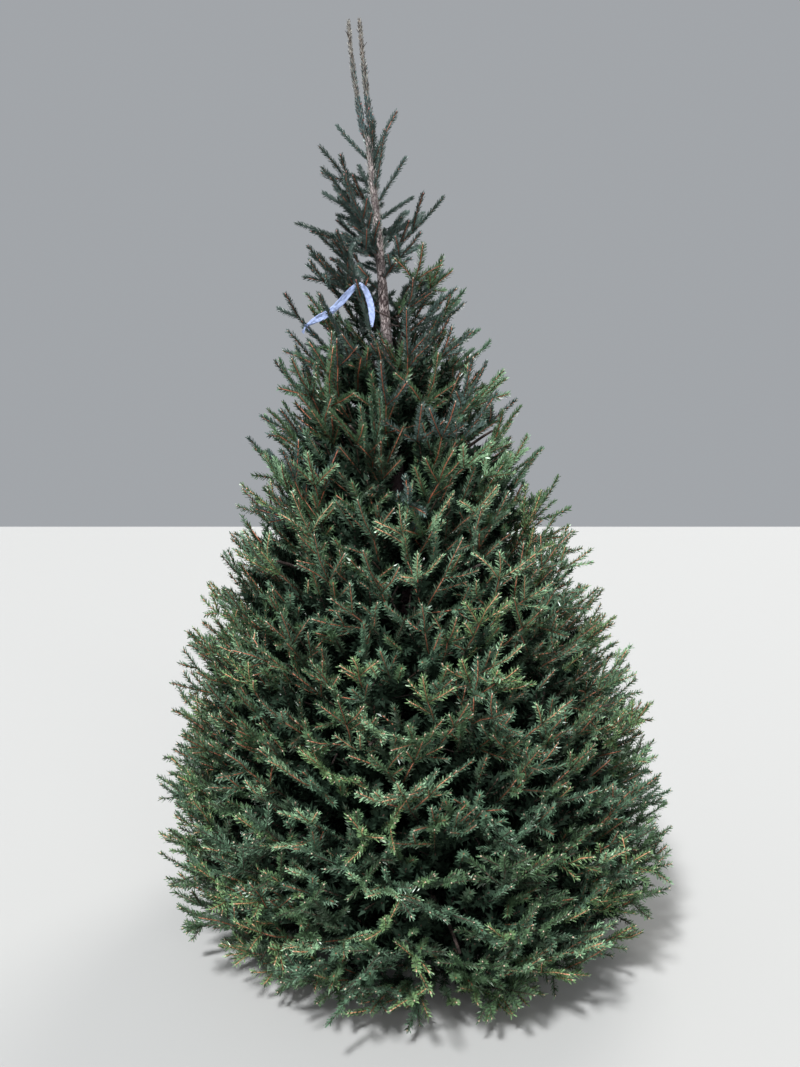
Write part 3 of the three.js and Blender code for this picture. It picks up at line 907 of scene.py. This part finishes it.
# Needle tones on the leaders, and each one's share of the needles on a part, 0 being the foot
LEADER_TONES = table(
    "name colour roughness width shares",
    ("grey", (0.360, 0.350, 0.320), 0.5, 0.0034, {2: 0.5, 1: 0.5, 0: 0.2}),
    ("brown", (0.075, 0.064, 0.058), 0.5, 0.0034, {2: 0.5, 1: 0.5, 0: 0.3}),
    ("blue", (0.085, 0.160, 0.165), 0.45, 0.0036, {0: 0.7, 1: 0.2}),
)
LEADER_LEANS = (27, 23, 19)
LEADER_NEEDLE_LENGTHS = (1.15, 0.98, 0.86)


def tone_of(shoot):
    """Old shoots are dark, and the newest ones of a spray are lighter or bluer."""
    age, habit = shoot.age, shoot.habit
    if habit == "spire":
        limits = {"slate_blue": 0.35, "dark_blue": 1}
    elif habit == "high" and shoot.tip.z > SHADED_FROM and age > 0:
        limits = {"dark_blue": 1}
    elif habit == "high" and shoot.tip.z > SHADED_FROM:
        limits = {"dark_blue": 0.26, "slate_blue": 0.46, "blue_green": 0.68, "green": 1}
    elif age >= 2:
        limits = {"deep_green": 1}
    elif age == 1:
        limits = {"deep_green": 0.42, "green": 0.72, "blue_green": 1}
    elif habit == "high":
        limits = {"green": 0.20, "blue_green": 0.46, "slate_blue": 0.66, "grey_green": 1}
    else:
        limits = {"green": 0.32, "blue_green": 0.57, "leaf_green": 0.78, "grey_green": 1}
    return next(name for name, limit in limits.items() if shoot.tone < limit)


def bark_of(shoot):
    """The bark that shows between a shoot's needles: pale on new growth, dull on the old."""
    age, habit = shoot.age, shoot.habit
    if age < 3 and habit in ("high", "spire") and shoot.bare:
        return "red"
    if age == 0 and habit == "outer" and shoot.tone > PALE_FROM:
        return "pale"
    if age <= 1 and habit not in ("core", "inner"):
        if shoot.tip.z < LOW_BELOW and shoot.tone < DULL_BELOW:
            return "dull"
        return "orange" if habit == "outer" else "shaded"
    return "old" if age >= 2 and shoot.bare and habit != "core" else "hidden"


# Halves of the crown by height, where deep needles become finer, and what is near the surface
LEVELS = (("lower", -1, 0.85), ("upper", 0.85, 9))
FINE_BELOW = 0.16
NEAR_SURFACE = 0.07


def near_surface(point):
    return math.hypot(point.x - trunk_x(point.z), point.y) > crown_radius(max(point.z, 0)) - NEAR_SURFACE


crown_nodes = [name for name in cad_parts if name.startswith(("foliage", "spire", "leader"))]
bough_nodes = [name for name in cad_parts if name.startswith("bough")]

# Leaders: upright shoots in three parts, clad close on all sides


def leader_parts(leader):
    fork_x = trunk_x(TRUNK_HEIGHT)
    foot = Vector((fork_x + leader.foot, 0, TRUNK_HEIGHT - 0.004))
    tip = Vector((fork_x + leader.tip, 0, leader.top - 0.006))
    bend = Vector((lerp(foot.x, tip.x, leader.lean_low), 0, lerp(foot.z, tip.z, 0.5)))
    for number in range(3):
        ends = [bezier(foot, bend, tip, share / 6) for share in range(2 * number, 2 * number + 3)]
        radii = [leader.girth * (0.72 - 0.09 * (number + end)) for end in (0, 1)]
        yield Row(foot=ends[0], bend=ends[1] * 2 - (ends[0] + ends[2]) / 2, tip=ends[2],
                  over=Vector((0, -1, 0)), age=0, radius=radii, part=number)


leaders = [part for leader in LEADERS for part in leader_parts(leader)]

# Bare spurs that stand out from the leaders: which leader, share of its height, side, and length
for number, share, side, length in (
    (0, 0.87, -1, 0.020), (0, 0.48, -1, 0.018),
    (1, 0.88, -1, 0.018), (1, 0.76, 1, 0.022), (1, 0.52, 1, 0.020),
):
    part = leaders[3 * number + min(int(share * 3), 2)]
    start = bezier(part.foot, part.bend, part.tip, share * 3 % 1)
    end = start + Vector((side * 0.62, -0.25, 0.75)).normalized() * (length + 0.006)
    add_wood(start, start.lerp(end, 0.5), end, 0.0016, 0.0009)

# Red buds on short stalks round the fork and up the foot of each leader
leader_buds = []
for i in range(16):
    part = leaders[3 * (i % 2)]
    start = bezier(part.foot, part.bend, part.tip, 0.04 + 0.055 * i)
    away = heading(200 + i * GOLDEN_TURN, 35)
    end = start + away * (part.radius[0] + 0.004)
    leader_buds.append(Row(foot=start, bend=start.lerp(end, 0.5), tip=end))

# The top of the trunk, which still carries needles
upper_trunk = Row(
    foot=place(0, 0, 2.36), bend=place(0, 0, 2.58), tip=place(0, 0, TRUNK_HEIGHT),
    over=Vector((0, -1, 0)), age=0, radius=(trunk_radius(2.36) * 1.35, trunk_radius(2.7) * 1.35),
)


def leader_needles(tone):
    """One tone's needles on the leaders, which stand closer to them towards the top."""
    sets = []
    for part, share in tone.shares.items():
        habit = Row(**vars(HABITS["leader"]))
        habit.width = tone.width
        habit.lean = LEADER_LEANS[part]
        habit.length *= LEADER_NEEDLE_LENGTHS[part]
        habit.per_metre = [count * share for count in habit.per_metre]
        sets += [needle_arrays([item], "leader", habit) for item in leaders if item.part == part]
    return sets


# Needles of the crown: on the clad shoots by tone, beneath them, and deep inside
for shoot in shoots:
    if shoot.age >= 3 and near_surface(shoot.tip):
        shoot.habit, shoot.age = "shaded", 2
clad = [shoot for shoot in shoots if shoot.age < 3 and shoot.habit not in ("core", "inner")]
deep = {"core": [], "inner": [], "shaded": []}
for shoot in shoots:
    if shoot.age >= 3:
        deep[shoot.habit if shoot.tip.z > FINE_BELOW else "shaded"].append(shoot)
for name, colour, roughness in TONES:
    finish = needle_finish(f"needles_{name}", colour, roughness)
    for level, low, high in LEVELS:
        chosen = [shoot for shoot in clad if tone_of(shoot) == name and low <= shoot.tip.z < high]
        parts = []
        for habit in ("shaded", "outer", "high", "spire"):
            items = [shoot for shoot in chosen if shoot.habit == habit]
            if items:
                parts.append(needle_arrays(items, habit))
        if parts:
            crown_piece(f"needles_{name}_{level}", joined(parts), finish)
for level, low, high in LEVELS:
    items = [shoot for shoot in clad if shoot.habit in ("outer", "high") and low <= shoot.tip.z < high]
    crown_piece(f"needles_beneath_{level}", needle_arrays(items, "undercoat"), SHADED_NEEDLES)
# The deep needles all take the near-black painted shade
for level, habits in (("deep", ("core",)), ("half_deep", ("inner", "shaded"))):
    parts = [needle_arrays(deep[habit], habit) for habit in habits]
    crown_piece(f"needles_{level}", joined(parts), PAINTED_SHADE_NEEDLES)
for tone in LEADER_TONES:
    parts = leader_needles(tone)
    if tone.name == "grey":
        parts.append(needle_arrays([upper_trunk], "trunk"))
    finish = needle_finish(f"leader_needles_{tone.name}", tone.colour, tone.roughness)
    crown_piece(f"needles_on_leaders_{tone.name}", joined(parts), finish)

# Bark of the shoots, stems and twigs, and the buds
barks = {}
for shoot in shoots:
    barks.setdefault(bark_of(shoot), []).append(shoot)
stems = [item for item in wood if item.radius[0] > TWIG_RADIUS]
twigs = [item for item in wood if item.radius[0] <= TWIG_RADIUS]
for name, items, sides, steps, finish in (
    ("shoot_bark_pale", barks["pale"], 3, 2, PALE_SHOOT_BARK),
    ("shoot_bark_red", barks["red"], 3, 2, RED_SHOOT_BARK),
    ("shoot_bark_orange", barks["orange"], 3, 2, SHOOT_BARK),
    ("shoot_bark_shaded", barks["shaded"], 3, 1, SHOOT_BARK),
    ("twig_bark", barks["old"] + barks["dull"], 3, 1, TWIG_BARK),
    ("leader_bark", leaders, 8, 12, LEADER_BARK),
    ("stem_bark", stems, 7, 6, LIMB_BARK),
    ("twig_wood", twigs, 3, 2, LIMB_BARK),
):
    crown_piece(name, tube_arrays(items, sides, steps), finish)
tips = [shoot for shoot in clad if shoot.age == 0 and shoot.habit != "spire"]
red_tips = [shoot for shoot in clad if shoot.age == 0 and shoot.habit == "spire"] + leader_buds
crown_piece("buds", bud_arrays(tips, 0.005), BUD_SCALES)
crown_piece("red_buds", bud_arrays(red_tips, 0.0062), RED_BUD_SCALES)

# Trunk and boughs, with their bark's relief

BLUNT_END = 0.016
TRUNK_RELIEF = 0.0022
BOUGH_RELIEF = 0.0009
BOUGH_FLARE = 0.01
BOUGH_FLARE_SHARE = 0.08


def relief(point, height):
    """Height of the bark over its mean: upright ridges and flaking plates."""
    upright = Vector((point.x, point.y, point.z * 0.3))
    ridges = noise.fractal(upright * 70, 0.7, 2.1, 3)
    plates = noise.noise(upright * 190)
    return (ridges * 0.6 + plates * 0.35) * height


def add_rod(mesh, segments, cuts, raised=0):
    """An upright cylinder one unit long, cut into short lengths that bend: its vertices."""
    before = len(mesh.verts)
    made = bmesh.ops.create_cone(mesh, cap_ends=True, segments=segments, radius1=1, radius2=1, depth=1)
    bmesh.ops.translate(mesh, verts=made["verts"], vec=(0, 0, raised))
    edges = {edge for vertex in made["verts"] for edge in vertex.link_edges}
    upright = [edge for edge in edges if abs(edge.verts[0].co.z - edge.verts[1].co.z) > 0.5]
    bmesh.ops.subdivide_edges(mesh, edges=upright, cuts=cuts)
    mesh.verts.ensure_lookup_table()
    return mesh.verts[before:]


def make_trunk():
    mesh = bmesh.new()
    for vertex in add_rod(mesh, 40, 260, 0.5):
        z = vertex.co.z * TRUNK_HEIGHT
        around_axis = Vector((vertex.co.x, vertex.co.y, 0))
        on_surface = around_axis * trunk_radius(z)
        on_surface.z = z
        lift = relief(on_surface, TRUNK_RELIEF if 0 < vertex.co.z < 1 else 0)
        outward = around_axis * (trunk_radius(z) + lift)
        blunt = max(0, z - (TRUNK_HEIGHT - BLUNT_END)) / BLUNT_END
        outward *= math.sqrt(1 - 0.75 * blunt * blunt)
        vertex.co = Vector((outward.x + trunk_x(z), outward.y, z))
    bmesh.ops.recalc_face_normals(mesh, faces=mesh.faces)
    return bmesh_piece("trunk_with_bark", mesh, TRUNK_BARK)


def make_boughs():
    mesh = bmesh.new()
    for tier in range(1, len(SECTORS)):
        for sector in range(SECTORS[tier]):
            bend_limb(add_rod(mesh, 12, 24), *bough_path(make_cell(tier, sector)))
    bmesh.ops.recalc_face_normals(mesh, faces=mesh.faces)
    return bmesh_piece("boughs_with_bark", mesh, LIMB_BARK)


def bend_limb(verts, start, middle, end):
    for vertex in verts:
        t = vertex.co.z + 0.5
        centre = bezier(start, middle, end, t)
        along = ((middle - start) * (1 - t) + (end - middle) * t).normalized()
        side = along.cross(UP).normalized()
        radius = lerp(BOUGH_BASE_RADIUS, BOUGH_TIP_RADIUS, t)
        radius += BOUGH_FLARE * math.exp(-t / BOUGH_FLARE_SHARE)
        spoke = side * vertex.co.x + side.cross(along) * vertex.co.y
        point = centre + spoke * radius
        vertex.co = point + spoke * relief(point, BOUGH_RELIEF)


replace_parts(make_trunk(), "trunk")
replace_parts(make_boughs(), *bough_nodes)

# Tape: a crinkled strip tied to one shoot, laid over another and left hanging

TAPE_THICKNESS = 0.0004


def make_tape():
    path = [Vector(p) for p in (
        KNOT, (-0.361, -0.112, 2.132), (-0.335, -0.122, 2.142), (-0.307, -0.134, 2.154),
        (-0.280, -0.146, 2.172), (-0.248, -0.162, 2.197), (-0.220, -0.184, 2.222), PEAK,
        (-0.178, -0.206, 2.222), (-0.166, -0.208, 2.199), (-0.156, -0.208, 2.165),
        (-0.151, -0.208, 2.129), (-0.152, -0.208, 2.093),
    )]
    widths = (0.007, 0.019, 0.024, 0.024, 0.023, 0.025, 0.020, 0.014, 0.017, 0.021, 0.023, 0.020, 0.006)
    steps, columns = 120, 8
    mesh = bmesh.new()
    bmesh.ops.create_grid(mesh, x_segments=steps, y_segments=columns, size=0.5)
    for vertex in mesh.verts:
        share = min(max(vertex.co.x + 0.5, 0), 1) * (len(path) - 1)
        k = min(int(share), len(path) - 2)
        t = share - k
        before, after = path[max(k - 1, 0)], path[min(k + 2, len(path) - 1)]
        centre = spline(before, path[k], path[k + 1], after, t)
        ahead = (spline(before, path[k], path[k + 1], after, t + 0.01) - centre).normalized()
        across = ahead.cross(Vector((0.15, 1, 0.1))).normalized()
        width = lerp(widths[k], widths[k + 1], t)
        face = across.cross(ahead)
        crinkle = noise.noise(Vector((share * 3.1, vertex.co.y * 4, 0))) * 0.0026
        crinkle += noise.noise(Vector((share * 9.0, vertex.co.y * 7, 3))) * 0.0012
        curl = (vertex.co.y * 2) ** 2 * 0.003 * math.sin(share * 2.1)
        vertex.co = centre + across * vertex.co.y * width + face * (crinkle + curl)
    piece = bmesh_piece("tape", mesh, TAPE)
    solidify = piece.modifiers.new("thickness", "SOLIDIFY")
    solidify.thickness = TAPE_THICKNESS


def spline(a, b, c, d, t):
    """A smooth curve from b to c."""
    square = (a * 2 - b * 5 + c * 4 - d) * (t * t / 2)
    cube = (b * 3 - a - c * 3 + d) * (t ** 3 / 2)
    return b + (c - a) * (t / 2) + square + cube


def make_knot():
    """Turns of the tape round the shoot, and its two short ends."""
    mesh = bmesh.new()
    along = Vector((-0.082, -0.015, 0.088)).normalized()
    side = along.cross(UP).normalized()
    for turn in range(3):
        middle = KNOT + along * 0.0045 * (turn - 1)
        ring = [mesh.verts.new(middle + side * 0.0045 + along * dx + side * dy)
                for dx, dy in ((-0.003, 0), (0, 0.0014), (0.003, 0), (0, -0.001))]
        edges = [mesh.edges.new((ring[i], ring[(i + 1) % 4])) for i in range(4)]
        bmesh.ops.spin(mesh, geom=ring + edges, cent=middle, axis=along, angle=math.radians(360),
                       steps=14, use_merge=True)
    for way in (Vector((-0.35, -0.35, -0.9)), Vector((0.5, -0.6, -0.7))):
        tail = bmesh.ops.create_grid(mesh, x_segments=8, y_segments=2, size=0.5)["verts"]
        way.normalize()
        for vertex in tail:
            out = vertex.co.x + 0.5
            flare = lerp(0.004, 0.012, out)
            wave = Vector((0, -0.003 * math.sin(out * 5), 0))
            vertex.co = KNOT + way * (0.004 + out * 0.026) + along * vertex.co.y * flare + wave
    bmesh.ops.recalc_face_normals(mesh, faces=mesh.faces)
    bmesh_piece("tape_knot", mesh, TAPE)


def tape_finish():
    """Thin pale plastic with fine creases and a soft shine."""
    finish = Finish("tape", (0.34, 0.42, 0.68), 0.42)
    surface = finish.place((1.0, 1.0, 1.0))
    creases, folds = finish.noise(surface, 260.0, 3.0), finish.noise(surface, 70.0, 2.0)
    finish.feed(finish.shader.inputs["Base Color"],
                finish.mix(folds * 0.8, (0.400, 0.490, 0.735, 1), (0.215, 0.285, 0.565, 1)))
    finish.bump(creases * 0.6 + folds, 0.9, 0.003)
    return finish.material


TAPE = tape_finish()
make_tape()
make_knot()

# Stage: a pale floor and backdrop, soft light from above, and the camera

floor_mesh = bmesh.new()
bmesh.ops.create_grid(floor_mesh, x_segments=1, y_segments=1, size=30)
floor_paint = Finish("floor_paint", (0.36, 0.36, 0.355), 0.9).material
floor = show("floor", data_of("floor", floor_mesh), floor_paint)


def soft_light(name, azimuth, height, power, spread, colour):
    """Even light from a wide part of the sky."""
    light = bpy.data.lights.new(name, "SUN")
    light.energy = power
    light.angle = math.radians(spread)
    light.color = colour
    lamp = show(name, light)
    lamp.rotation_euler = heading(azimuth, height).to_track_quat("Z", "Y").to_euler()


soft_light("sky_light", 238, 56, 5.3, 8, (0.98, 0.99, 1.0))
soft_light("front_light", 292, 20, 1.1, 35, (1.0, 0.98, 0.95))
soft_light("back_light", 60, 42, 1.6, 30, (1.0, 0.98, 0.94))

world = bpy.data.worlds.new("backdrop")
world.use_nodes = True
world.node_tree.nodes["Background"].inputs["Color"].default_value = (0.86, 0.90, 0.95, 1)
world.node_tree.nodes["Background"].inputs["Strength"].default_value = 0.42
bpy.context.scene.world = world
bpy.context.scene.view_settings.view_transform = "Standard"

camera_data = bpy.data.cameras.new("camera")
camera_data.sensor_width = 36
camera_data.lens = 26.32
camera = show("camera", camera_data)
camera.location = EYE
camera.rotation_euler = (math.radians(86.8), 0, 0)
bpy.context.scene.camera = camera
